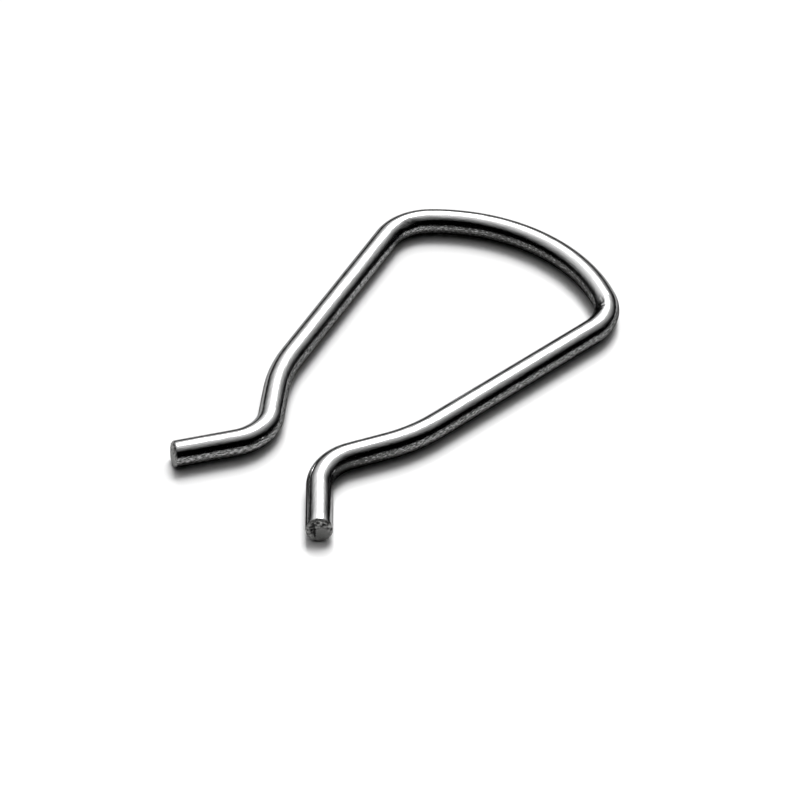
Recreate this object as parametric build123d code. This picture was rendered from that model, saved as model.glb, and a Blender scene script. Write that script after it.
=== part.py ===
from build123d import *
from math import asin, atan2, cos, degrees, hypot, radians, sin
import os

# Spring clip: one length of round spring steel wire, bent cold in one plane.
# A shallow bow spans the top. At each side the wire turns a tight shoulder into a leg, the legs draw
# in towards each other, a waist bend leads them in to a narrow neck, and a hook turns each one out
# again to a short flared tip with a sheared face.
#
# Lengths are in millimetres and angles in degrees. The clip lies flat on z = 0, with +Y towards the
# bow. The origin is on that surface, under the middle of the clip's outline.

# The wire
wire_diameter = 2.0

# The sizes that decide what the clip goes round
body_width = 21.9  # outside, across the two shoulders
neck_gap = 4.4  # clear, between the two hooks
bow_rise = 2.05  # how far the crown stands above the tops of the shoulder bends

# The bends, each by the radius of the pin that the wire is bent round
shoulder_pin_radius = 2.95
waist_pin_radius = 11.0
hook_pin_radius = 2.45

# The straight runs between the bends
leg_length = 16.3
neck_length = 2.9
tip_length = 4.9  # to the longest point of the sheared face

# The turns that are set on the bending tool
waist_turn = 20.5  # how much the waist bend turns a leg inwards
tip_flare = 37.6  # lean of a tip away from the clip's middle line

# The sheared ends
shear_lean = 8.0  # the cut isn't square, so the upper edge of its face is set back
rim_radius = 0.2  # the rounded edge of a sheared face


# What follows from those sizes: the wire's middle line
wire_radius = wire_diameter / 2
shoulder_radius = shoulder_pin_radius + wire_radius
waist_radius = waist_pin_radius + wire_radius
hook_radius = hook_pin_radius + wire_radius

# The bow's arc runs into both shoulder arcs without a kink.
shoulder_x = body_width / 2 - wire_radius - shoulder_radius
shoulder_depth = bow_rise + shoulder_radius
bow_radius = (shoulder_x**2 + shoulder_depth**2 - shoulder_radius**2) / (2 * bow_rise)
bow_half_angle = degrees(atan2(shoulder_x, bow_radius - shoulder_depth))

# A leg leans in by just as much as brings its hook to the neck gap. Seen from the middle of the
# shoulder bend, the middle of the hook bend is this far along the leg, and this far outside it.
hook_x = neck_gap / 2 + wire_radius + hook_radius
waist_and_hook = waist_radius + hook_radius
along_leg = (
    leg_length
    + waist_and_hook * sin(radians(waist_turn))
    + neck_length * cos(radians(waist_turn))
)
outside_leg = (
    shoulder_radius
    - waist_radius
    + waist_and_hook * cos(radians(waist_turn))
    - neck_length * sin(radians(waist_turn))
)
leg_lean = degrees(
    atan2(outside_leg, along_leg)
    + asin((shoulder_x - hook_x) / hypot(along_leg, outside_leg))
)

shoulder_turn = 90 + leg_lean - bow_half_angle
hook_turn = leg_lean + waist_turn + tip_flare


def bend(run, radius, turn):
    """An arc that carries on from the end of a run. A positive turn is to the left."""
    return JernArc(start=run @ 1, tangent=run % 1, radius=radius, arc_size=turn)


def straight(run, length):
    """A straight that carries on from the end of a run."""
    return Line(run @ 1, run @ 1 + (run % 1) * length)


def bow_run():
    """The bow, from left to right, with its crown over the middle of the clip."""
    half_span = bow_radius * sin(radians(bow_half_angle))
    climbing = (cos(radians(bow_half_angle)), sin(radians(bow_half_angle)))
    return JernArc(
        start=(-half_span, 0), tangent=climbing, radius=bow_radius, arc_size=-2 * bow_half_angle
    )


def right_side(bow):
    """The runs that follow the bow, down to the right tip."""
    shoulder = bend(bow, shoulder_radius, -shoulder_turn)
    leg = straight(shoulder, leg_length)
    waist = bend(leg, waist_radius, -waist_turn)
    neck = straight(waist, neck_length)
    hook = bend(neck, hook_radius, hook_turn)
    tip = straight(hook, tip_length)
    return [shoulder, leg, waist, neck, hook, tip]


def middle_line():
    """The wire's middle line, from the left tip over the bow to the right tip."""
    bow = bow_run()
    right = right_side(bow)
    left = [mirror(run, about=Plane.YZ) for run in right]
    return Wire([run.edge() for run in [*left, bow, *right]])


def shear_plane(route, end):
    """The plane of the cut at the start (0) or end (1) of the wire, facing away from the wire."""
    outward = (route % end) * (1 if end else -1)
    lowest = (route @ end) - Vector(0, 0, wire_radius)
    leaning = outward * cos(radians(shear_lean)) + Vector(0, 0, sin(radians(shear_lean)))
    return Plane(origin=lowest, z_dir=leaning)


def wire_clip():
    """The bent wire with its two sheared ends, lying flat with the origin under its middle."""
    route = middle_line()
    section = Plane(origin=route @ 0, z_dir=route % 0) * Circle(wire_radius)
    clip = sweep(section, path=route)
    for end in (0, 1):
        clip = split(clip, bisect_by=shear_plane(route, end), keep=Keep.BOTTOM)
    sheared_faces = clip.faces().filter_by(GeomType.PLANE)
    clip = fillet(sheared_faces.edges(), rim_radius)

    outline = clip.bounding_box()
    return Pos(-outline.center().X, -outline.center().Y, -outline.min.Z) * clip


os.makedirs("parts", exist_ok=True)
export_step(wire_clip(), "parts/wire_clip.step")
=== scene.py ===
import logging
import math
from dataclasses import dataclass
from enum import Enum
from typing import Any

import bpy
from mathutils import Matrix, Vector, noise


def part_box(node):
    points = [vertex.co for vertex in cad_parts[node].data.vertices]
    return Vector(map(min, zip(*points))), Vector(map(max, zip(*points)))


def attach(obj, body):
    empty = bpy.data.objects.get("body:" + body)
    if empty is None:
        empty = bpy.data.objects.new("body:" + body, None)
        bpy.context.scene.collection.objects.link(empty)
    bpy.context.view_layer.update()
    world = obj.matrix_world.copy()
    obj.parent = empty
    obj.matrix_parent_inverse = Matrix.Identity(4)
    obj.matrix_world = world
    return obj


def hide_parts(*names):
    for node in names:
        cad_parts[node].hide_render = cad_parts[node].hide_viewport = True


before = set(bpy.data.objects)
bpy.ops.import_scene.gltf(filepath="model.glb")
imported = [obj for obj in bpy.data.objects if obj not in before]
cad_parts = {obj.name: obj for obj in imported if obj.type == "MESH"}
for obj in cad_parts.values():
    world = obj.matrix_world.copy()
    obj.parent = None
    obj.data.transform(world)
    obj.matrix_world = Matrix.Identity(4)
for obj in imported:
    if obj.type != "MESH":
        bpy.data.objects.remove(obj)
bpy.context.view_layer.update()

# Spring clip: one length of bright drawn spring steel wire, bent cold and sheared at both ends.
# Lengths are in metres and angles in degrees, unless a name says otherwise. The frame is the part's
# own: the clip lies on z = 0, with +Y towards its bow and the origin under its middle.

MM = 0.001

# The piece's own maps: the wire unrolled, how much painted shade its flanks get, and how pale its
# cut faces are
UNROLLED_MAP = "unrolled"
PAINTED_SHADE_MAP = "painted_flank_shade"
TONE_MAP = "tone"

# The colour sockets of a Mix node, by number, because its other sockets share their names
MIX_FIRST, MIX_SECOND, MIX_RESULT = 6, 7, 2

Tree = bpy.types.NodeTree
Socket = bpy.types.NodeSocket
Place = tuple[float, float]

log = logging.getLogger("spring_clip")


def linear(hex_colour: str) -> tuple[float, float, float, float]:
    """Turns an sRGB colour into the linear values that a shader reads.

    Args:
        hex_colour: The colour as "#rrggbb".

    Returns:
        Red, green, blue and an alpha of 1.
    """
    shares = [int(hex_colour[i : i + 2], 16) / 255 for i in (1, 3, 5)]
    low_end, slope, offset, power = 0.04045, 12.92, 0.055, 2.4
    values = [
        share / slope if share <= low_end else ((share + offset) / (1 + offset)) ** power
        for share in shares
    ]
    return values[0], values[1], values[2], 1.0


def add_node(
    tree: Tree, kind: str, inputs: dict[Any, Any] | None = None, **settings: Any
) -> bpy.types.Node:
    """Adds a node with its settings, and fills its inputs.

    Args:
        tree: The node tree that the node goes into.
        kind: The node's type, such as "ShaderNodeMath".
        inputs: An input's name or number, with its value or with the socket that feeds it.
        **settings: The node's own properties, such as an operation.

    Returns:
        The new node.
    """
    node = tree.nodes.new(kind)
    for name, value in settings.items():
        setattr(node, name, value)
    for key, value in (inputs or {}).items():
        if isinstance(value, Socket):
            tree.links.new(value, node.inputs[key])
        else:
            node.inputs[key].default_value = value
    return node


def blank_material(name: str) -> bpy.types.Material:
    """Makes a material with an empty node tree.

    Args:
        name: The material's name.

    Returns:
        The material.
    """
    made = bpy.data.materials.new(name)
    made.use_nodes = True
    made.node_tree.nodes.clear()
    return made


def deselect_everything() -> None:
    """Leaves no object selected or active."""
    bpy.ops.object.select_all(action="DESELECT")
    bpy.context.view_layer.objects.active = None


def smooth_step(low: float, high: float, value: float) -> float:
    """Rises from 0 at the low value to 1 at the high one, without a kink at either."""
    share = min(max((value - low) / (high - low), 0), 1)
    return share * share * (3 - 2 * share)


def rough_noise(place: Vector, grain: float) -> float:
    """Reads a rough noise that swings round 0.

    Args:
        place: A place in the frame.
        grain: The size of the noise's coarsest lumps.

    Returns:
        The noise there, mostly between -1 and 1.
    """
    fall_off, finer_by, octaves = 1.0, 2.0, 3
    return noise.fractal(place / grain, fall_off, finer_by, octaves)


@dataclass(frozen=True)
class Run:
    """A stretch of the wire's middle line: a straight, or an arc where it turns.

    Attributes:
        start: Where the run begins.
        heading: Direction of travel at the start, in radians from +X.
        length: Length along the middle line.
        turn: How far the run turns to the left, in radians. Negative is to the right.
    """

    start: Vector
    heading: float
    length: float
    turn: float = 0.0

    @property
    def radius(self) -> float:
        """The arc's radius, positive for a left turn and negative for a right one."""
        return self.length / self.turn

    @property
    def centre(self) -> Vector:
        """The middle of the arc."""
        left = Vector((-math.sin(self.heading), math.cos(self.heading), 0))
        return self.start + left * self.radius

    def point(self, share: float) -> Vector:
        """Finds a point of the middle line.

        Args:
            share: How far along the run the point lies, as a share of its length.

        Returns:
            The point.
        """
        if not self.turn:
            return self.start + self.direction(0) * self.length * share
        heading = self.heading + self.turn * share
        right = Vector((math.sin(heading), -math.cos(heading), 0))
        return self.centre + right * self.radius

    def direction(self, share: float) -> Vector:
        """The direction of travel at a share of the run's length."""
        heading = self.heading + self.turn * share
        return Vector((math.cos(heading), math.sin(heading), 0))

    def share_beside(self, place: Vector) -> float:
        """Finds how far along the run a place near the wire lies.

        Args:
            place: Any place in the frame.

        Returns:
            The share of the run's length. It's under 0 before the start and over 1 past the end.
        """
        if not self.turn:
            return (place - self.start).dot(self.direction(0)) / self.length
        spoke = (place - self.centre) * math.copysign(1, self.radius)
        swept = math.atan2(spoke.y, spoke.x) - (self.heading - math.pi / 2)
        swept = (swept + math.pi) % (2 * math.pi) - math.pi
        return swept / self.turn


class End(Enum):
    """The wire's two ends, as seen from above with the bow at the top."""

    LEFT = "left"
    RIGHT = "right"


@dataclass(frozen=True)
class ShearedEnd:
    """The plane that a blade cut the wire on, and the marks that the cut left there.

    The blade came up from below. It left the lower part of the face smooth, tore the rest off, and
    pushed a ragged burr up along the upper edge. Places and widths on the face are in radii of the
    wire, to the right of its middle and above it.

    Attributes:
        end: Which of the two ends it is.
        middle: The middle of the wire, level with the longest point of the cut.
        outward: The direction that the wire runs out in.
        radius: The wire's radius.
        lean: How far the cut leans back at the top, in degrees.
        smooth_middle: The middle of the smooth patch.
        smooth_size: How far from there the face starts to be torn, and is fully torn.
        grain: Size of the torn face's lumps, torn_depth their depth.
        burr_height: How far the burr stands out, burr_grain the size of its teeth.
        burr_from: How far up the face the burr starts, and is at its full height.
        burr_width: How far from the middle it starts, and is at its full height.
        burr_teeth: How much of the rim the teeth cover: more at a higher value.
        score_depth: Depth of a score, score_width its half width where it starts.
        score_core: Share of that half width that is at full depth.
        score_taper: Share of its width that it loses by its end.
        score_grain: Size of the raggedness of its edges, score_raggedness how strong that is.
        mottle_size: Size of the torn face's pale and dark patches.
        smooth_tone: How pale the smooth patch is, from 0 to 1. The other tones are added to it: the
            burr's is a painted glint on its teeth, and the scores' a painted shade in their
            grooves.
    """

    end: End
    middle: Vector
    outward: Vector
    radius: float
    lean: float
    smooth_middle: Place = (0.22, -0.35)
    smooth_size: tuple[float, float] = (0.35, 0.85)
    grain: float = 0.13 * MM
    torn_depth: float = 0.035 * MM
    burr_height: float = 0.09 * MM
    burr_grain: float = 0.16 * MM
    burr_from: tuple[float, float] = (0.2, 0.55)
    burr_width: tuple[float, float] = (0.56, 0.74)
    burr_teeth: float = 0.35
    score_depth: float = 0.09 * MM
    score_width: float = 0.17
    score_core: float = 0.2
    score_taper: float = 0.5
    score_grain: float = 0.11 * MM
    score_raggedness: float = 0.7
    mottle_size: float = 0.21 * MM
    smooth_tone: float = 0.36
    torn_tone: float = 0.16
    mottle_tone: float = 0.8
    burr_painted_glint: float = 0.6
    score_painted_shade: float = 0.8

    @property
    def blade(self) -> Vector:
        """The normal of the cut."""
        lean = math.radians(self.lean)
        return self.outward * math.cos(lean) + Vector((0, 0, math.sin(lean)))

    @property
    def lowest(self) -> Vector:
        """The cut's lowest point, where the wire is longest."""
        return self.middle - Vector((0, 0, self.radius))

    @property
    def across(self) -> Vector:
        """The direction to the right for someone who looks at the face."""
        return Vector((0, 0, 1)).cross(self.outward)

    @property
    def centre(self) -> Vector:
        """Where the wire's middle line meets the cut."""
        return self.middle - self.outward * self.radius * math.tan(math.radians(self.lean))

    def on_face(self, place: Vector) -> tuple[float, float, float]:
        """Finds a place on the cut face.

        Args:
            place: A place in the frame.

        Returns:
            How far it is to the right of the face's middle and above it, in radii of the wire, and
            its height over the face, in metres.
        """
        offset = place - self.centre
        upward = self.blade.cross(self.across)
        return (
            offset.dot(self.across) / self.radius,
            offset.dot(upward) / self.radius,
            offset.dot(self.blade),
        )

    def scores(self) -> list[tuple[Place, Place]]:
        """Lists the deep scores that the blade dragged into the face.

        Returns:
            Each score's wide end and its narrow end.
        """
        if self.end is End.LEFT:
            return [((0.15, 0.7), (0.2, 0.25))]
        return [
            ((-0.42, 0.56), (-0.38, 0.15)),
            ((-0.46, 0.30), (-0.34, 0.02)),
            ((-0.36, 0.10), (-0.33, -0.48)),
            ((-0.54, 0.08), (-0.44, 0.22)),
            ((-0.06, 0.72), (0.02, 0.70)),
            ((0.32, 0.58), (0.44, 0.52)),
        ]

    def scored(self, place: Vector, right: float, up: float) -> float:
        """Finds how deep in a score a place is.

        Args:
            place: The place in the frame.
            right: How far it is to the right of the face's middle.
            up: How far it is above it.

        Returns:
            0 outside every score, and 1 at a score's full depth.
        """
        ragged = 1 + self.score_raggedness * noise.noise(place / self.score_grain)
        deepest = 0.0
        for (from_right, from_up), (to_right, to_up) in self.scores():
            along = Vector((to_right - from_right, to_up - from_up))
            offset = Vector((right - from_right, up - from_up))
            share = min(max(offset.dot(along) / along.length_squared, 0), 1)
            width = self.score_width * (1 - self.score_taper * share) * ragged
            distance = (offset - along * share).length / width
            deepest = max(deepest, 1 - smooth_step(self.score_core, 1.0, distance))
        return deepest

    def torn(self, right: float, up: float) -> float:
        """How torn a place on the face is, from 0 where it's smooth to 1."""
        offset = Vector((right - self.smooth_middle[0], up - self.smooth_middle[1]))
        return smooth_step(self.smooth_size[0], self.smooth_size[1], offset.length)

    def burr(self, place: Vector, right: float, up: float) -> float:
        """Finds how far the burr stands out at a place.

        Args:
            place: The place in the frame.
            right: How far it is to the right of the face's middle.
            up: How far it is above it.

        Returns:
            The share of the burr's full height.
        """
        upper = smooth_step(self.burr_from[0], self.burr_from[1], up)
        near_rim = smooth_step(self.burr_width[0], self.burr_width[1], math.hypot(right, up))
        teeth = noise.noise(place / self.burr_grain) + self.burr_teeth
        return upper * near_rim * min(max(teeth, 0), 1)

    def relief(self, place: Vector) -> float:
        """Finds how far the cut face stands out from the blade's plane.

        Args:
            place: A place on the face.

        Returns:
            The height there, in metres. It's negative in a hollow.
        """
        right, up, _ = self.on_face(place)
        torn = self.torn(right, up) * rough_noise(place, self.grain)
        height = self.torn_depth * torn + self.burr_height * self.burr(place, right, up)
        return height - self.score_depth * self.scored(place, right, up)

    def tone(self, place: Vector) -> float:
        """Finds how pale the cut face is.

        Args:
            place: A place on the face.

        Returns:
            The tone there, from 0 to 1.
        """
        right, up, _ = self.on_face(place)
        mottle = self.mottle_tone * rough_noise(place, self.mottle_size)
        pale = self.smooth_tone + self.torn(right, up) * (self.torn_tone + mottle)
        # Painted glint: the burr's teeth are made paler.
        pale += self.burr_painted_glint * self.burr(place, right, up)
        # Painted shade: the scores are made darker in their grooves.
        pale -= self.score_painted_shade * self.scored(place, right, up)
        return min(max(pale, 0), 1)


@dataclass(frozen=True)
class Dent:
    """A small hollow that a bending tool left in the wire.

    Attributes:
        along: Distance from the left tip, along the middle line.
        around: Share of a turn round the wire, from its underside over the clip's inner side.
        depth: How deep it goes.
        half_length: Half its length along the wire.
        half_width: Half its width round the wire.
    """

    along: float
    around: float
    depth: float
    half_length: float
    half_width: float

    def depth_at(self, along: float, around: float, girth: float) -> float:
        """Finds how deep the hollow is at a place on the wire.

        Args:
            along: The place's distance from the left tip.
            around: Its share of a turn round the wire.
            girth: The wire's circumference.

        Returns:
            The depth there, which is 0 outside the hollow.
        """
        lengthways = (along - self.along) / self.half_length
        sideways = (around - self.around) * girth / self.half_width
        squared = lengthways**2 + sideways**2
        return self.depth * (1 - squared) ** 2 if squared < 1 else 0.0


# The pin of the bending tool flattened the inside of each shoulder bend a little, and nicked the
# edge of the right one. A few pits lie beside it. Lengths are in millimetres.
TOOL_MARKS = [
    Dent(along * MM, around, depth * MM, half_length * MM, half_width * MM)
    for along, around, depth, half_length, half_width in (
        (56.75, 0.385, 0.075, 1.9, 0.62),
        (55.95, 0.428, 0.020, 0.34, 0.16),
        (56.25, 0.445, 0.030, 0.36, 0.13),
        (56.85, 0.456, 0.042, 0.16, 0.24),
        (57.30, 0.442, 0.014, 0.26, 0.20),
        (54.03, 0.479, 0.034, 0.13, 0.12),
        (54.93, 0.490, 0.028, 0.11, 0.11),
        (55.60, 0.512, 0.018, 0.12, 0.12),
        (34.80, 0.375, 0.050, 1.3, 0.50),
        (34.95, 0.420, 0.016, 0.18, 0.24),
        (34.45, 0.405, 0.010, 0.14, 0.18),
    )
]


# How much darker or lighter than usual the painted shade on the drawn skin's flanks is along the
# wire: a distance from the left tip in millimetres, then the clip's inner side and its outer side.
PAINTED_SHADE_TABLE = [
    (5.0, 0.0, 0.0),
    (12.0, 0.03, 0.0),
    (20.0, 0.03, 0.0),
    (26.0, -0.05, 0.0),
    (33.0, -0.02, 0.0),
    (40.0, 0.11, 0.0),
    (53.0, 0.12, 0.0),
    (57.0, 0.0, 0.03),
    (79.0, 0.0, 0.03),
    (82.0, 0.1, 0.12),
    (84.5, 0.3, 0.25),
    (86.5, 0.4, 0.0),
    (88.5, 0.4, -0.3),
]
INNER_SIDE, OUTER_SIDE = 1, 2


def painted_shade_at(along: float, around: float) -> float:
    """Finds how much darker than usual the painted shade on the drawn skin's flanks is.

    Args:
        along: Distance from the left tip.
        around: Share of a turn round the wire, from its underside over the clip's inner side.

    Returns:
        What to take off the streaks' noise there.
    """
    side = INNER_SIDE if around < 0.5 else OUTER_SIDE
    for before, after in zip(PAINTED_SHADE_TABLE, PAINTED_SHADE_TABLE[1:]):
        if along <= after[0] * MM:
            share = min(max((along / MM - before[0]) / (after[0] - before[0]), 0), 1)
            return before[side] + (after[side] - before[side]) * share
    return PAINTED_SHADE_TABLE[-1][side]


@dataclass(frozen=True)
class DrawnSteel:
    """Bright drawn spring steel wire, left as it came through the die.

    The die burnishes it almost to a mirror. What the eye sees is the room: white where it faces the
    light, black where it faces the dark side, and the table along its flanks. The flanks are
    painted darker, mottled in short streaks along the wire, so that their reflection of the table
    reads as a
    dim grey: this is painted shade. The streaks also give the skin a fine relief. The die's own
    lines and the streaks are finer than this, and are drawn as coarse as they need to be to show.

    Attributes:
        name: The material's name.
        unshaded: The skin's colour, shaded the colour of the painted shade on its flanks, edge its
            tint at a low angle.
        flank: Where the flanks begin and are at their full, in turns round the wire from its top.
        shade_range: The noise at which a flank is fully in painted shade, and is unshaded.
        roughness: How rough the unshaded skin is, and the middle of a painted-shade streak.
        streak_width: Width of a streak. Lengths, widths and depths are a pattern's real sizes.
        top_streaks: How strong the streaks' relief is on top of the wire, as a share.
        noise_detail: Octaves of the patterns' noise past the first.
        noise_roughness: How strong each of them is, against the one before.
    """

    name: str = "bright_drawn_spring_steel"
    unshaded: str = "#dfdfdf"
    shaded: str = "#4c4c4b"
    edge: str = "#8c8c8c"
    flank: tuple[float, float] = (0.13, 0.175)
    shade_range: tuple[float, float] = (0.40, 0.83)
    roughness: tuple[float, float] = (0.08, 0.17)
    streak_width: float = 0.09 * MM
    streak_length: float = 0.30 * MM
    streak_depth: float = 0.0024 * MM
    top_streaks: float = 0.5
    line_width: float = 0.05 * MM
    line_length: float = 4.0 * MM
    line_depth: float = 0.001 * MM
    wave_width: float = 0.40 * MM
    wave_length: float = 1.1 * MM
    wave_depth: float = 0.014 * MM
    noise_detail: float = 2.0
    noise_roughness: float = 0.6

    def material(self, girth: float) -> bpy.types.Material:
        """Makes the finish.

        Args:
            girth: The wire's circumference, which is 1 on both axes of the piece's UV map.

        Returns:
            The material.
        """
        made = blank_material(self.name)
        tree = made.node_tree
        streaks = self._lengthways_noise(tree, girth, self.streak_width, self.streak_length)
        flank = self._flank(tree)
        shade = self._paint_shade(tree, streaks, flank)
        # Painted shade: the flanks take the shaded colour, so that their reflection of the table
        # reads dim.
        tone = add_node(
            tree,
            "ShaderNodeMix",
            {"Factor": shade, MIX_FIRST: linear(self.unshaded), MIX_SECOND: linear(self.shaded)},
            data_type="RGBA",
        )
        roughness = add_node(
            tree,
            "ShaderNodeMapRange",
            {"Value": shade, "To Min": self.roughness[0], "To Max": self.roughness[1]},
        )
        steel = add_node(
            tree,
            "ShaderNodeBsdfPrincipled",
            {
                "Base Color": tone.outputs[MIX_RESULT],
                "Metallic": 1.0,
                "Specular Tint": linear(self.edge),
                "Roughness": roughness.outputs["Result"],
                "Normal": self._relief(tree, girth, streaks, flank),
            },
        )
        add_node(tree, "ShaderNodeOutputMaterial", {"Surface": steel.outputs["BSDF"]})
        return made

    def _flank(self, tree: Tree) -> Socket:
        """Adds the nodes that tell the wire's flanks from its top.

        Args:
            tree: The material's nodes.

        Returns:
            The socket that is 0 on the top and rises to 1 on both flanks.
        """
        unrolled = add_node(tree, "ShaderNodeUVMap", uv_map=UNROLLED_MAP).outputs["UV"]
        turns = add_node(tree, "ShaderNodeSeparateXYZ", {"Vector": unrolled}).outputs["X"]
        for operation in ("SUBTRACT", "ABSOLUTE"):
            away = add_node(tree, "ShaderNodeMath", {0: turns, 1: 0.5}, operation=operation)
            turns = away.outputs["Value"]
        return add_node(
            tree,
            "ShaderNodeMapRange",
            {"Value": turns, "From Min": self.flank[0], "From Max": self.flank[1]},
            interpolation_type="SMOOTHSTEP",
        ).outputs["Result"]

    def _paint_shade(self, tree: Tree, streaks: Socket, flank: Socket) -> Socket:
        """Adds the nodes that paint shade on the flanks, mottled in streaks, to dim their
        reflection of the table.

        Args:
            tree: The material's nodes.
            streaks: The streaks' noise.
            flank: 0 on the top of the wire and 1 on its flanks.

        Returns:
            The socket that is 0 where the skin is unshaded and 1 in the middle of a painted-shade
            streak.
        """
        # Painted shade set along the wire is taken off the streaks' noise, to darken the flanks
        # further.
        painted_flank_shade = add_node(tree, "ShaderNodeAttribute", attribute_name=PAINTED_SHADE_MAP).outputs["Fac"]
        shaded_noise = add_node(
            tree, "ShaderNodeMath", {0: streaks, 1: painted_flank_shade}, operation="SUBTRACT"
        ).outputs["Value"]
        shaded = add_node(
            tree,
            "ShaderNodeMapRange",
            {
                "Value": shaded_noise,
                "From Min": self.shade_range[1],
                "From Max": self.shade_range[0],
            },
        ).outputs["Result"]
        return add_node(
            tree, "ShaderNodeMath", {0: shaded, 1: flank}, operation="MULTIPLY"
        ).outputs["Value"]

    def _relief(self, tree: Tree, girth: float, streaks: Socket, flank: Socket) -> Socket:
        """Adds the nodes of the skin's relief: gentle waves, streaks and the die's fine lines.

        Args:
            tree: The material's nodes.
            girth: The wire's circumference.
            streaks: The streaks' noise.
            flank: 0 on the top of the wire and 1 on its flanks.

        Returns:
            The socket with the normal.
        """
        waves = self._lengthways_noise(tree, girth, self.wave_width, self.wave_length)
        lines = self._lengthways_noise(tree, girth, self.line_width, self.line_length)
        streaked = add_node(
            tree, "ShaderNodeMath", {0: flank, 1: self.top_streaks}, operation="MAXIMUM"
        ).outputs["Value"]
        under = {}
        for height, strength, depth in (
            (waves, 1.0, self.wave_depth),
            (streaks, streaked, self.streak_depth),
            (lines, 1.0, self.line_depth),
        ):
            inputs = {"Height": height, "Strength": strength, "Distance": depth, **under}
            bump = add_node(tree, "ShaderNodeBump", inputs)
            under = {"Normal": bump.outputs["Normal"]}
        return under["Normal"]

    def _lengthways_noise(self, tree: Tree, girth: float, width: float, length: float) -> Socket:
        """Adds noise that is drawn out along the wire.

        Args:
            tree: The material's nodes.
            girth: The wire's circumference.
            width: Width of a streak round the wire.
            length: Length of a streak along it.

        Returns:
            The socket with the noise.
        """
        unrolled = add_node(tree, "ShaderNodeUVMap", uv_map=UNROLLED_MAP).outputs["UV"]
        stretched = add_node(
            tree,
            "ShaderNodeMapping",
            {"Vector": unrolled, "Scale": (girth / width, girth / length, 1)},
        )
        return add_node(
            tree,
            "ShaderNodeTexNoise",
            {
                "Vector": stretched.outputs["Vector"],
                "Scale": 1.0,
                "Detail": self.noise_detail,
                "Roughness": self.noise_roughness,
            },
            noise_dimensions="2D",
        ).outputs["Fac"]


@dataclass(frozen=True)
class ShearedSteel:
    """The same steel where a blade cut it: torn, grey and without the die's shine.

    It scatters the light, so the face stays an even dull grey where the drawn skin beside it jumps
    from white to black. Its grain is drawn as coarse as it needs to be to show.

    Attributes:
        name: The material's name.
        pale: The colour where the piece's tone is 1, dark the colour where it is 0.
        roughness: How rough the face is.
        grain_size: Size of a grain, grain_depth its depth.
        grain_share: How much the grain sways the tone.
        grain_detail: Octaves of the grain's noise past the first.
        grain_roughness: How strong each of them is, against the one before.
    """

    name: str = "sheared_spring_steel"
    pale: str = "#bbbbb9"
    dark: str = "#303030"
    roughness: float = 0.5
    grain_size: float = 0.07 * MM
    grain_depth: float = 0.010 * MM
    grain_share: float = 0.35
    grain_detail: float = 3.0
    grain_roughness: float = 0.6

    def material(self) -> bpy.types.Material:
        """Makes the finish.

        Returns:
            The material.
        """
        made = blank_material(self.name)
        tree = made.node_tree
        place = add_node(tree, "ShaderNodeTexCoord").outputs["Object"]
        grain = add_node(
            tree,
            "ShaderNodeTexNoise",
            {
                "Vector": place,
                "Scale": 1 / self.grain_size,
                "Detail": self.grain_detail,
                "Roughness": self.grain_roughness,
            },
        ).outputs["Fac"]
        tone = add_node(tree, "ShaderNodeAttribute", attribute_name=TONE_MAP).outputs["Fac"]
        pale = grain
        for operation, other in (
            ("SUBTRACT", 0.5),
            ("MULTIPLY", self.grain_share),
            ("ADD", tone),
        ):
            step = add_node(tree, "ShaderNodeMath", {0: pale, 1: other}, operation=operation)
            pale = step.outputs["Value"]
        mixed = add_node(
            tree,
            "ShaderNodeMix",
            {"Factor": pale, MIX_FIRST: linear(self.dark), MIX_SECOND: linear(self.pale)},
            data_type="RGBA",
        )
        bump = add_node(
            tree,
            "ShaderNodeBump",
            {"Height": grain, "Strength": 1.0, "Distance": self.grain_depth},
        )
        steel = add_node(
            tree,
            "ShaderNodeBsdfPrincipled",
            {
                "Base Color": mixed.outputs[MIX_RESULT],
                "Metallic": 1.0,
                "Roughness": self.roughness,
                "Normal": bump.outputs["Normal"],
            },
        )
        add_node(tree, "ShaderNodeOutputMaterial", {"Surface": steel.outputs["BSDF"]})
        return made


@dataclass(frozen=True)
class WhiteAcrylic:
    """A sheet of cast white acrylic, which the clip lies on.

    The eye sees a flat white, and under the clip a faint and slightly blurred mirror image. Its IOR
    is matched to how faint that image is.

    Attributes:
        name: The material's name.
        colour: The sheet's colour.
        roughness: How much the mirror image is blurred.
        ior: How strong the mirror image is.
    """

    name: str = "white_cast_acrylic"
    colour: str = "#f7f7f7"
    roughness: float = 0.15
    ior: float = 1.35

    def material(self) -> bpy.types.Material:
        """Makes the finish.

        Returns:
            The material.
        """
        made = blank_material(self.name)
        tree = made.node_tree
        sheet = add_node(
            tree,
            "ShaderNodeBsdfPrincipled",
            {"Base Color": linear(self.colour), "Roughness": self.roughness, "IOR": self.ior},
        )
        add_node(tree, "ShaderNodeOutputMaterial", {"Surface": sheet.outputs["BSDF"]})
        return made


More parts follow.
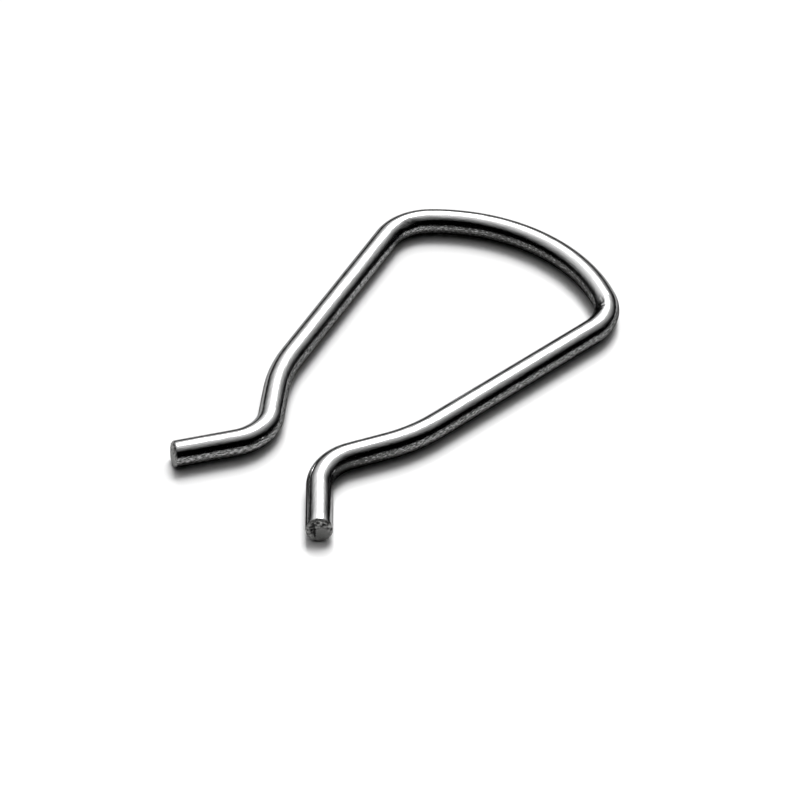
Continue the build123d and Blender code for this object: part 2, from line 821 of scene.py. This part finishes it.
@dataclass
class BentWire:
    """The whole clip: one wire, swept from its left tip over the bow to its right tip.

    The piece stands in for the part's own mesh, whose flat facets would show in a reflection this
    sharp. It is bent to the same sizes, from wire_diameter to rim_radius.

    Attributes:
        faces_round: Faces round the wire.
        ring_spacing: Distance between the rings of faces on a straight run.
        ring_turn: Turn between the rings in a bend, in degrees.
        tight_bend: Radius under which a bend is tight.
        tight_ring_turn: Turn between the rings in a tight bend, in degrees.
        fewest_rings: Rings on the shortest run.
        overshoot: How far past each tip the wire is swept, before the blade cuts it.
        clear_of_cut: Length of wire at each tip that has no rings, so that the cut meets none.
        weld_distance: Vertices nearer than this are one.
        rim_steps: Faces across the rounded rim of a cut.
        face_rings: Rings of faces on the flat of a cut.
        flat_within: How near the blade's plane a vertex of the flat lies.
        cut_look: How squarely a face of the rim faces the blade, to look cut and not drawn.
        run_slack: How far past the end of a run a place may still lie on it, as a share.
        wire_slack: How far from the middle line a place may still lie on the wire, in radii.
    """

    wire_diameter: float = 2.0 * MM
    body_width: float = 21.9 * MM
    neck_gap: float = 4.4 * MM
    bow_rise: float = 2.05 * MM
    shoulder_pin_radius: float = 2.95 * MM
    waist_pin_radius: float = 11.0 * MM
    hook_pin_radius: float = 2.45 * MM
    leg_length: float = 16.3 * MM
    neck_length: float = 2.9 * MM
    tip_length: float = 4.9 * MM
    waist_turn: float = 20.5
    tip_flare: float = 37.6
    shear_lean: float = 8.0
    rim_radius: float = 0.2 * MM
    faces_round: int = 96
    ring_spacing: float = 0.45 * MM
    ring_turn: float = 2.0
    tight_bend: float = 4.5 * MM
    tight_ring_turn: float = 1.25
    fewest_rings: int = 4
    overshoot: float = 0.5 * MM
    clear_of_cut: float = 1.1 * MM
    weld_distance: float = 0.0001 * MM
    rim_steps: int = 6
    face_rings: int = 14
    flat_within: float = 0.0005 * MM
    cut_look: float = 0.5
    run_slack: float = 1e-4
    wire_slack: float = 1.01

    def __post_init__(self) -> None:
        """Works out the middle line, which every other step reads."""
        self.radius = self.wire_diameter / 2
        self.girth = math.pi * self.wire_diameter
        self.runs = self._middle_line()
        first, last = self.runs[0], self.runs[-1]
        self.ends = [
            ShearedEnd(end, middle, outward, self.radius, self.shear_lean)
            for end, middle, outward in (
                (End.LEFT, first.start, -first.direction(0)),
                (End.RIGHT, last.point(1), last.direction(1)),
            )
        ]

    def _middle_line(self) -> list[Run]:
        """Works out the middle line.

        Returns:
            Its runs in order, from the left tip to the right tip.
        """
        shoulder = self.shoulder_pin_radius + self.radius
        waist = self.waist_pin_radius + self.radius
        hook = self.hook_pin_radius + self.radius
        waist_turn = math.radians(self.waist_turn)

        shoulder_x = self.body_width / 2 - self.radius - shoulder
        shoulder_depth = self.bow_rise + shoulder
        bow = (shoulder_x**2 + shoulder_depth**2 - shoulder**2) / (2 * self.bow_rise)
        half_bow = math.atan2(shoulder_x, bow - shoulder_depth)

        hook_x = self.neck_gap / 2 + self.radius + hook
        along = self.leg_length + self.neck_length * math.cos(waist_turn)
        along += (waist + hook) * math.sin(waist_turn)
        outside = shoulder - waist - self.neck_length * math.sin(waist_turn)
        outside += (waist + hook) * math.cos(waist_turn)
        lean = math.atan2(outside, along)
        lean += math.asin((shoulder_x - hook_x) / math.hypot(along, outside))

        shoulder_turn = math.pi / 2 + lean - half_bow
        hook_turn = lean + waist_turn + math.radians(self.tip_flare)
        side = [
            (self.tip_length, 0.0),
            (hook * hook_turn, hook_turn),
            (self.neck_length, 0.0),
            (waist * waist_turn, -waist_turn),
            (self.leg_length, 0.0),
            (shoulder * shoulder_turn, -shoulder_turn),
        ]
        steps = [*side, (2 * bow * half_bow, -2 * half_bow), *reversed(side)]
        crown = self._follow(steps, Vector((0, 0, self.radius)))[len(side)].point(0.5)
        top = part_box("wire_clip")[1][1]
        return self._follow(steps, Vector((-crown.x, top - self.radius - crown.y, self.radius)))

    def _follow(self, steps: list[tuple[float, float]], start: Vector) -> list[Run]:
        """Lays runs end to end.

        Args:
            steps: Each run's length and turn, from the left tip.
            start: The middle of the left tip's end.

        Returns:
            The runs.
        """
        heading = math.radians(90 - self.tip_flare)
        runs = []
        for length, turn in steps:
            runs.append(Run(start, heading, length, turn))
            start = runs[-1].point(1)
            heading += turn
        return runs

    def build(self) -> bpy.types.Object:
        """Bends the wire, shears its ends, and presses the tool marks into it.

        Returns:
            The finished piece, with its place in its mesh.
        """
        deselect_everything()
        first = self.runs[0]
        bpy.ops.mesh.primitive_circle_add(
            vertices=self.faces_round,
            radius=self.radius,
            fill_type="NOTHING",
            location=first.start - first.direction(0) * self.overshoot,
            rotation=(math.pi / 2, 0, first.heading + math.pi / 2),
        )
        wire = bpy.context.active_object
        wire.name = "bent_wire"
        bpy.ops.object.transform_apply(location=True, rotation=True, scale=True)
        bpy.ops.object.mode_set(mode="EDIT")
        bpy.ops.mesh.select_all(action="SELECT")
        for number in range(len(self.runs)):
            self._carry_on(number)
        for end in self.ends:
            self._shear(end)
        bpy.ops.mesh.select_all(action="SELECT")
        bpy.ops.mesh.remove_doubles(threshold=self.weld_distance)
        bpy.ops.mesh.normals_make_consistent(inside=False)
        bpy.ops.object.mode_set(mode="OBJECT")
        places = self._places(wire)
        self._unroll(wire, places)
        self._press(wire, places)
        self._tear(wire)
        for polygon in wire.data.polygons:
            polygon.use_smooth = True
        return wire

    def _ring_places(self, number: int) -> list[float]:
        """Spaces the rings of a straight run, and keeps them clear of the cuts.

        Args:
            number: The run's place in the middle line.

        Returns:
            The distance from the start of the run to each ring, the one that is there included.
        """
        length = self.runs[number].length
        is_first = number == 0
        is_last = number == len(self.runs) - 1
        first = self.clear_of_cut if is_first else 0.0
        last = length - self.clear_of_cut if is_last else length
        count = max(self.fewest_rings, round((last - first) / self.ring_spacing))
        places = [first + (last - first) * step / count for step in range(count + 1)]
        if is_first:
            places.insert(0, -self.overshoot)
        if is_last:
            places.append(length + self.overshoot)
        return places

    def _carry_on(self, number: int) -> None:
        """Sweeps the selected ring of edges along a run, in edit mode. Spin turns clockwise.

        Args:
            number: The run's place in the middle line.
        """
        run = self.runs[number]
        if run.turn:
            step = self.tight_ring_turn if abs(run.radius) < self.tight_bend else self.ring_turn
            bpy.ops.mesh.spin(
                steps=max(self.fewest_rings, round(abs(math.degrees(run.turn)) / step)),
                angle=-run.turn,
                center=run.centre,
                axis=(0, 0, 1),
            )
            return
        places = self._ring_places(number)
        for here, there in zip(places, places[1:]):
            bpy.ops.mesh.extrude_region()
            bpy.ops.transform.translate(value=run.direction(0) * (there - here))

    def _shear(self, end: ShearedEnd) -> None:
        """Cuts a tip off on the blade's plane, rounds the rim and grids the face, in edit mode.

        Args:
            end: The end to cut.
        """
        bpy.ops.mesh.select_all(action="SELECT")
        bpy.ops.mesh.bisect(
            plane_co=end.lowest, plane_no=end.blade, use_fill=True, clear_outer=True
        )
        bpy.ops.mesh.bevel(
            offset=self.rim_radius, segments=self.rim_steps, profile=0.5, affect="EDGES"
        )
        self._select_cut(end)
        step = (self.radius - self.rim_radius) / (self.face_rings + 1)
        for _ in range(self.face_rings):
            bpy.ops.mesh.inset(thickness=step, depth=0)
        bpy.ops.mesh.poke()

    def _select_cut(self, end: ShearedEnd) -> None:
        """Selects the flat middle of a cut, which is one face at this point, in edit mode.

        Args:
            end: The end that was cut.
        """
        bpy.ops.mesh.select_all(action="DESELECT")
        bpy.ops.mesh.select_mode(type="FACE")
        bpy.ops.object.mode_set(mode="OBJECT")
        faces = bpy.context.active_object.data.polygons
        min(faces, key=lambda face: (face.center - end.centre).length).select = True
        bpy.ops.object.mode_set(mode="EDIT")

    def _places(self, wire: bpy.types.Object) -> list[Place]:
        """Finds each vertex's place on the wire.

        Args:
            wire: The bent wire.

        Returns:
            Per vertex, the share of a turn round the wire, from its underside over the clip's inner
            side, and the distance along it from the left tip.
        """
        before = [0.0]
        for run in self.runs:
            before.append(before[-1] + run.length)
        last = len(self.runs) - 1
        number = 0
        places = []
        for vertex in wire.data.vertices:
            for guess in sorted(range(last + 1), key=lambda index: abs(index - number)):
                run = self.runs[guess]
                share = run.share_beside(vertex.co)
                begun = guess == 0 or share > -self.run_slack
                ended = guess != last and share >= 1 + self.run_slack
                spoke = vertex.co - run.point(share)
                if begun and not ended and spoke.length < self.radius * self.wire_slack:
                    break
            number = guess
            heading = run.direction(share)
            across = Vector((heading.y, -heading.x, 0))
            around = math.atan2(spoke.dot(across), -spoke.z) / (2 * math.pi) % 1
            places.append((around, before[guess] + share * run.length))
        return places

    def _unroll(self, wire: bpy.types.Object, places: list[Place]) -> None:
        """Gives the wire a UV map that is the wire unrolled, and notes how much painted shade its
        flanks get.

        Args:
            wire: The bent wire.
            places: Each vertex's place on it. The map is in girths, with its seam underneath.
        """
        painted_flank_shade = wire.data.attributes.new(PAINTED_SHADE_MAP, "FLOAT", "POINT")
        for number, (around, along) in enumerate(places):
            painted_flank_shade.data[number].value = painted_shade_at(along, around)
        layer = wire.data.uv_layers.new(name=UNROLLED_MAP)
        for polygon in wire.data.polygons:
            corners = [places[number] for number in polygon.vertices]
            widest = max(around for around, _ in corners)
            for loop, (around, along) in zip(polygon.loop_indices, corners):
                turns = around + 1 if widest - around > 0.5 else around
                layer.data[loop].uv = (turns, along / self.girth)

    def _press(self, wire: bpy.types.Object, places: list[Place]) -> None:
        """Presses the tool marks into the wire.

        Args:
            wire: The bent wire.
            places: Each vertex's place on it.
        """
        moves = []
        for vertex, (around, along) in zip(wire.data.vertices, places):
            depth = sum(mark.depth_at(along, around, self.girth) for mark in TOOL_MARKS)
            moves.append(vertex.normal * -depth)
        for vertex, move in zip(wire.data.vertices, moves):
            vertex.co += move

    def _tear(self, wire: bpy.types.Object) -> None:
        """Shapes the two cut faces, and notes how pale they are from place to place.

        Args:
            wire: The bent wire.
        """
        tone = wire.data.attributes.new(TONE_MAP, "FLOAT", "POINT")
        for end in self.ends:
            for polygon in wire.data.polygons:
                is_near = (polygon.center - end.middle).length < self.wire_diameter
                if is_near and polygon.normal.dot(end.blade) > self.cut_look:
                    polygon.material_index = 1
            for vertex in wire.data.vertices:
                if (vertex.co - end.middle).length > self.wire_diameter:
                    continue
                tone.data[vertex.index].value = end.tone(vertex.co)
                if abs(end.on_face(vertex.co)[2]) < self.flat_within:
                    vertex.co += end.blade * end.relief(vertex.co)

    def dress(self, wire: bpy.types.Object) -> None:
        """Gives the wire its drawn skin, and its cut faces theirs."""
        wire.data.materials.append(DrawnSteel().material(self.girth))
        wire.data.materials.append(ShearedSteel().material())


@dataclass(frozen=True)
class ViewPoint:
    """Where the photograph was taken from, and through what lens.

    Attributes:
        azimuth: The camera's direction from the target, to the right of -Y.
        elevation: Its height over the horizon.
        distance: Its distance from the target.
        target: The place in the middle of the picture.
        focal_pixels: Focal length, in the picture's pixels.
        picture_pixels: The picture's width.
        sensor: The sensor's width, in millimetres.
        clip_start: How near the camera a thing still shows.
    """

    azimuth: float = 36.81
    elevation: float = 40.69
    distance: float = 223.2 * MM
    target: tuple[float, float, float] = (2.166 * MM, -2.849 * MM, 0.0)
    focal_pixels: float = 2958.8
    picture_pixels: int = 800
    sensor: float = 36.0
    clip_start: float = 5 * MM

    def towards_camera(self) -> Vector:
        """Works out the direction from the clip to the camera.

        Returns:
            The direction.
        """
        azimuth, elevation = math.radians(self.azimuth), math.radians(self.elevation)
        level = Vector((math.sin(azimuth), -math.cos(azimuth), 0)) * math.cos(elevation)
        return level + Vector((0, 0, math.sin(elevation)))

    def seen_from_camera(self, azimuth: float, elevation: float) -> Vector:
        """Turns a direction that is told from the camera into one in the frame.

        Args:
            azimuth: 0 is towards the camera, 90 to its right and 180 away from it.
            elevation: Height over the horizon.

        Returns:
            The direction.
        """
        azimuth, elevation = math.radians(azimuth), math.radians(elevation)
        outward = self.towards_camera()
        front = Vector((outward.x, outward.y, 0)).normalized()
        right = Vector((-front.y, front.x, 0))
        level = front * math.cos(azimuth) + right * math.sin(azimuth)
        return level * math.cos(elevation) + Vector((0, 0, math.sin(elevation)))

    def place(self) -> None:
        """Puts the camera there and makes it the scene's own."""
        data = bpy.data.cameras.new("camera")
        data.sensor_width = self.sensor
        data.lens = self.focal_pixels * self.sensor / self.picture_pixels
        data.clip_start = self.clip_start
        camera = bpy.data.objects.new("camera", data)
        bpy.context.scene.collection.objects.link(camera)
        outward = self.towards_camera()
        camera.location = Vector(self.target) + outward * self.distance
        camera.rotation_euler = outward.to_track_quat("Z", "Y").to_euler()
        bpy.context.scene.camera = camera


@dataclass(frozen=True)
class Glow:
    """A round patch of light in the sky that falls off as a bell curve.

    Attributes:
        azimuth: Where its middle is, from the camera: 90 is to its right and 180 behind the clip.
        elevation: How high its middle is.
        strength: The radiance in its middle.
        spread: How far from its middle the radiance is down to 1/e.
    """

    azimuth: float
    elevation: float
    strength: float
    spread: float


@dataclass(frozen=True)
class Studio:
    """A white table under one big diffused light, above and behind the clip, with nothing in front.

    The light is a wide soft glow with a far brighter middle. The glow draws the clip's highlights,
    and its middle the shadow on the table. Together they light the table about as much as a plain
    white sky would.

    Attributes:
        view: The camera that the light's directions are told from.
        glow: The wide part of the light.
        core: Its bright middle.
        cut_off: What is taken off the radiance, so that the light ends and the dark side is black.
        horizon_fade: The heights, as a direction's Z, that the light fades out between.
        table_size: The table's side.
    """

    view: ViewPoint
    glow: Glow = Glow(184.5, 54.0, 1.365, 45.0)
    core: Glow = Glow(168.0, 55.0, 24.6, 11.0)
    cut_off: float = 0.078
    horizon_fade: tuple[float, float] = (0.05, 0.63)
    table_size: float = 2.0

    def light_up(self) -> None:
        """Makes the world that light, and black everywhere else."""
        world = bpy.data.worlds.new("studio")
        bpy.context.scene.world = world
        world.use_nodes = True
        tree = world.node_tree
        tree.nodes.clear()
        direction = add_node(tree, "ShaderNodeTexCoord").outputs["Generated"]
        height = add_node(tree, "ShaderNodeSeparateXYZ", {"Vector": direction}).outputs["Z"]
        above = add_node(
            tree,
            "ShaderNodeMapRange",
            {"Value": height, "From Min": self.horizon_fade[0], "From Max": self.horizon_fade[1]},
            interpolation_type="SMOOTHSTEP",
        ).outputs["Result"]
        lit = self._radiance(tree, direction, self.glow)
        for operation, other in (
            ("ADD", self._radiance(tree, direction, self.core)),
            ("SUBTRACT", self.cut_off),
            ("MAXIMUM", 0.0),
            ("MULTIPLY", above),
        ):
            step = add_node(tree, "ShaderNodeMath", {0: lit, 1: other}, operation=operation)
            lit = step.outputs["Value"]
        light = add_node(tree, "ShaderNodeBackground", {"Color": (1, 1, 1, 1), "Strength": lit})
        add_node(tree, "ShaderNodeOutputWorld", {"Surface": light.outputs["Background"]})

    def _radiance(self, tree: Tree, direction: Socket, glow: Glow) -> Socket:
        """Adds the nodes of one glow.

        Args:
            tree: The world's nodes.
            direction: The direction that a ray leaves in.
            glow: The glow.

        Returns:
            The socket with its radiance in that direction.
        """
        middle = self.view.seen_from_camera(glow.azimuth, glow.elevation)
        value = add_node(
            tree, "ShaderNodeVectorMath", {0: direction, 1: middle}, operation="DOT_PRODUCT"
        ).outputs["Value"]
        for operation, other in (
            ("ARCCOSINE", 0.0),
            ("DIVIDE", math.radians(glow.spread)),
            ("POWER", 2.0),
            ("MULTIPLY", -1.0),
            ("EXPONENT", 0.0),
            ("MULTIPLY", glow.strength),
        ):
            step = add_node(tree, "ShaderNodeMath", {0: value, 1: other}, operation=operation)
            value = step.outputs["Value"]
        return value

    def lay_table(self) -> None:
        """Lays the white table that the clip rests on."""
        deselect_everything()
        bpy.ops.mesh.primitive_plane_add(size=self.table_size)
        table = bpy.context.active_object
        table.name = "table"
        table.data.materials.append(WhiteAcrylic().material())


def main() -> None:
    """Builds the clip and the studio, and reports each piece."""
    logging.basicConfig(level=logging.INFO, format="%(name)s: %(message)s")
    bpy.context.scene.view_settings.view_transform = "Standard"

    view = ViewPoint()
    view.place()
    studio = Studio(view)
    studio.light_up()
    studio.lay_table()

    clip = BentWire()
    wire = clip.build()
    clip.dress(wire)
    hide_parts("wire_clip")
    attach(wire, "root")
    log.info("%s has %d faces", wire.name, len(wire.data.polygons))


if __name__ == "__main__":
    main()
